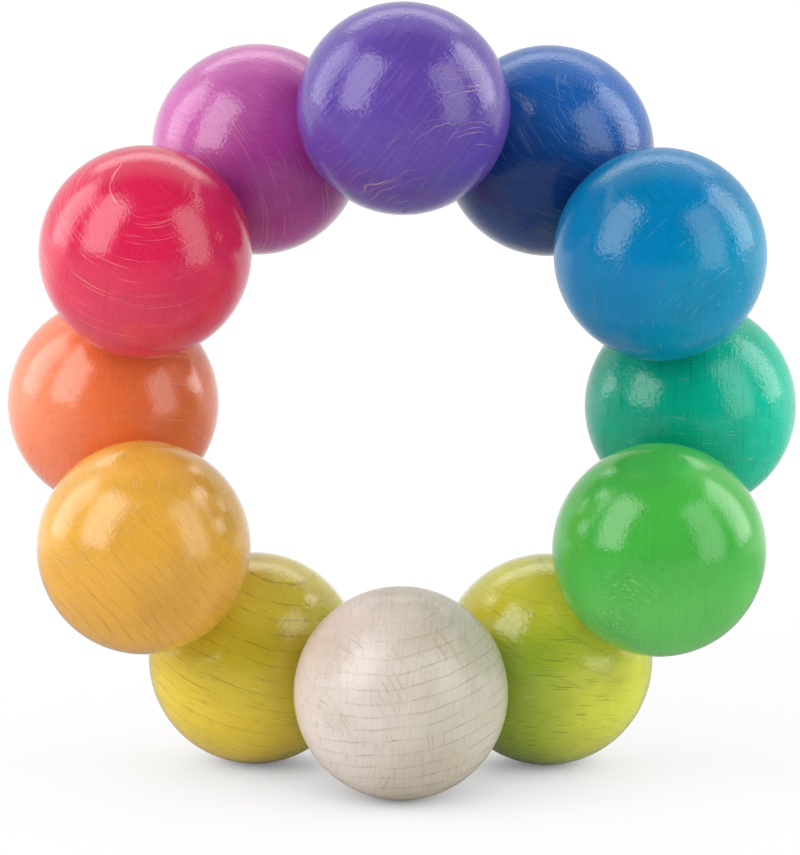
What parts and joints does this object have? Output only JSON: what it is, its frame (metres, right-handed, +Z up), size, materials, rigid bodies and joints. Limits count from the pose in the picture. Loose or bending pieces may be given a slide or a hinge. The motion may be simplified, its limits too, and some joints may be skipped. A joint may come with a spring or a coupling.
{
  "type": "wooden fidget ring",
  "caption": "Ring of stained beech balls joined by hidden swivel pins into a closed chain that folds and squeezes into new shapes; it stands on its edge.",
  "frame": {"origin": "On the standing surface, under the middle of the ring's overall box", "axes": "+Z up; +Y from the front of the ring to its back; +X to the right as seen from the front"},
  "size_m": [0.112, 0.0676, 0.1096],
  "materials": {
    "white_stain": "white-washed beech, satin lacquer",
    "yellow_stain": "beech stained yellow, gloss lacquer",
    "amber_stain": "beech stained amber, gloss lacquer",
    "orange_stain": "beech stained orange, gloss lacquer",
    "red_stain": "beech stained red, gloss lacquer",
    "magenta_stain": "beech stained magenta, gloss lacquer",
    "violet_stain": "beech stained violet, gloss lacquer",
    "navy_stain": "beech stained navy, gloss lacquer",
    "blue_stain": "beech stained blue, gloss lacquer",
    "teal_stain": "beech stained teal, gloss lacquer",
    "green_stain": "beech stained green, gloss lacquer",
    "lime_stain": "beech stained lime, gloss lacquer",
    "bush_plastic": "turned plastic",
    "spring_steel": "spring steel",
    "pin_steel": "bright steel"
  },
  "bodies": {
    "white": {"white_ball": "white_stain", "white_bush": "bush_plastic", "white_disc_springs": "spring_steel", "lime_swivel_pin": "pin_steel"},
    "yellow": {"yellow_ball": "yellow_stain", "yellow_bush": "bush_plastic", "yellow_disc_springs": "spring_steel", "white_swivel_pin": "pin_steel"},
    "amber": {"amber_ball": "amber_stain", "amber_bush": "bush_plastic", "amber_disc_springs": "spring_steel", "yellow_swivel_pin": "pin_steel"},
    "orange": {"orange_ball": "orange_stain", "orange_bush": "bush_plastic", "orange_disc_springs": "spring_steel", "amber_swivel_pin": "pin_steel"},
    "red": {"red_ball": "red_stain", "red_bush": "bush_plastic", "red_disc_springs": "spring_steel", "orange_swivel_pin": "pin_steel"},
    "magenta": {"magenta_ball": "magenta_stain", "magenta_bush": "bush_plastic", "magenta_disc_springs": "spring_steel", "red_swivel_pin": "pin_steel"},
    "violet": {"violet_ball": "violet_stain", "violet_bush": "bush_plastic", "violet_disc_springs": "spring_steel", "magenta_swivel_pin": "pin_steel", "violet_swivel_pin": "pin_steel"},
    "navy": {"navy_ball": "navy_stain", "navy_bush": "bush_plastic", "navy_disc_springs": "spring_steel"},
    "blue": {"blue_ball": "blue_stain", "blue_bush": "bush_plastic", "blue_disc_springs": "spring_steel", "navy_swivel_pin": "pin_steel"},
    "teal": {"teal_ball": "teal_stain", "teal_bush": "bush_plastic", "teal_disc_springs": "spring_steel", "blue_swivel_pin": "pin_steel"},
    "green": {"green_ball": "green_stain", "green_bush": "bush_plastic", "green_disc_springs": "spring_steel", "teal_swivel_pin": "pin_steel"},
    "lime": {"lime_ball": "lime_stain", "lime_bush": "bush_plastic", "lime_disc_springs": "spring_steel", "green_swivel_pin": "pin_steel"}
  },
  "joints": [
    {"name": "white_yellow_swivel", "type": "hinge", "parent": "white", "child": "yellow", "pos_m": [-0.01035, -0.00849, 0.015], "axis": [-0.7071, 0.7071, 0], "range_deg": [-15, 15]},
    {"name": "yellow_amber_swivel", "type": "hinge", "parent": "yellow", "child": "amber", "pos_m": [-0.0284, -0.00584, 0.02478], "axis": [-0.526, -0.526, 0.6684], "range_deg": [-3.86, 3.86]},
    {"name": "amber_orange_swivel", "type": "hinge", "parent": "amber", "child": "orange", "pos_m": [-0.03853, -0.00132, 0.04226], "axis": [-0.1663, 0.8343, 0.5257], "range_deg": [-11.25, 11.25]},
    {"name": "orange_red_swivel", "type": "hinge", "parent": "orange", "child": "red", "pos_m": [-0.03853, 0.00354, 0.06238], "axis": [0.1663, -0.5018, 0.8489], "range_deg": [-11.25, 11.25]},
    {"name": "red_magenta_swivel", "type": "hinge", "parent": "red", "child": "magenta", "pos_m": [-0.0284, 0.00752, 0.07998], "axis": [0.526, 0.7733, 0.3541], "range_deg": [-3.86, 3.86]},
    {"name": "magenta_violet_swivel", "type": "hinge", "parent": "magenta", "child": "violet", "pos_m": [-0.01035, 0.00963, 0.0899], "axis": [0.7071, -0.6289, 0.3232], "range_deg": [-15, 15]},
    {"name": "white_lime_swivel", "type": "hinge", "parent": "white", "child": "lime", "pos_m": [0.01035, -0.00849, 0.015], "axis": [0.7071, 0.7071, 0], "range_deg": [-15, 15]},
    {"name": "lime_green_swivel", "type": "hinge", "parent": "lime", "child": "green", "pos_m": [0.0284, -0.00584, 0.02478], "axis": [0.526, -0.526, 0.6684], "range_deg": [-3.86, 3.86]},
    {"name": "green_teal_swivel", "type": "hinge", "parent": "green", "child": "teal", "pos_m": [0.03853, -0.00132, 0.04226], "axis": [0.1663, 0.8343, 0.5257], "range_deg": [-11.25, 11.25]},
    {"name": "teal_blue_swivel", "type": "hinge", "parent": "teal", "child": "blue", "pos_m": [0.03853, 0.00354, 0.06238], "axis": [-0.1663, -0.5018, 0.8489], "range_deg": [-11.25, 11.25]},
    {"name": "blue_navy_swivel", "type": "hinge", "parent": "blue", "child": "navy", "pos_m": [0.0284, 0.00752, 0.07998], "axis": [-0.526, 0.7733, 0.3541], "range_deg": [-3.86, 3.86]}
  ],
  "couplings": [
    {"joint": "yellow_amber_swivel", "follows": "white_yellow_swivel", "ratio": 0.25707},
    {"joint": "amber_orange_swivel", "follows": "white_yellow_swivel", "ratio": -0.75},
    {"joint": "orange_red_swivel", "follows": "white_yellow_swivel", "ratio": 0.75},
    {"joint": "red_magenta_swivel", "follows": "white_yellow_swivel", "ratio": -0.25707},
    {"joint": "magenta_violet_swivel", "follows": "white_yellow_swivel", "ratio": -1},
    {"joint": "white_lime_swivel", "follows": "white_yellow_swivel", "ratio": -1},
    {"joint": "lime_green_swivel", "follows": "white_yellow_swivel", "ratio": -0.25707},
    {"joint": "green_teal_swivel", "follows": "white_yellow_swivel", "ratio": 0.75},
    {"joint": "teal_blue_swivel", "follows": "white_yellow_swivel", "ratio": -0.75},
    {"joint": "blue_navy_swivel", "follows": "white_yellow_swivel", "ratio": 0.25707}
  ]
}
